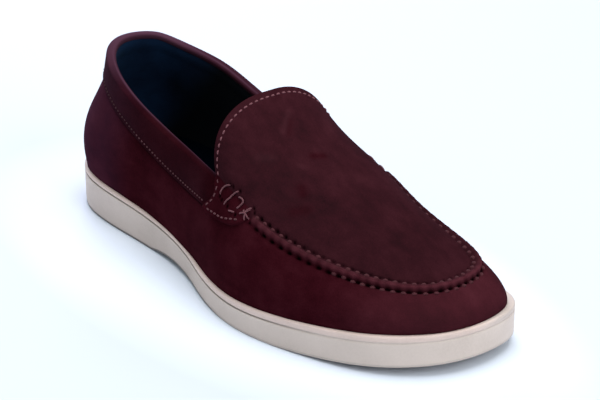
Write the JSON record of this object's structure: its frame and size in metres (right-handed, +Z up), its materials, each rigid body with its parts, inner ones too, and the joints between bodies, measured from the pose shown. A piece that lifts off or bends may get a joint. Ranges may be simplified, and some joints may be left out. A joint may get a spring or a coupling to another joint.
{
  "type": "slip-on loafer",
  "caption": "Right-foot suede slip-on loafer with a raised apron seam, folded collar band and pale rubber unit sole, hollow inside and open at the collar.",
  "frame": {"origin": "centre of the shoe's footprint on the ground it stands on", "axes": "+X from the heel to the toe, +Y towards the inner side of the right foot, +Z up"},
  "size_m": [0.295, 0.1072, 0.095],
  "materials": {
    "sole_rubber": "matte moulded rubber, warm pale grey",
    "suede": "napped suede, dark oxblood",
    "lining": "matte dark navy lining"
  },
  "bodies": {
    "root": {"outsole": "sole_rubber", "insole": "lining", "upper": "suede", "collar_band": "suede", "ear_lateral": "suede", "ear_medial": "suede"}
  },
  "joints": []
}
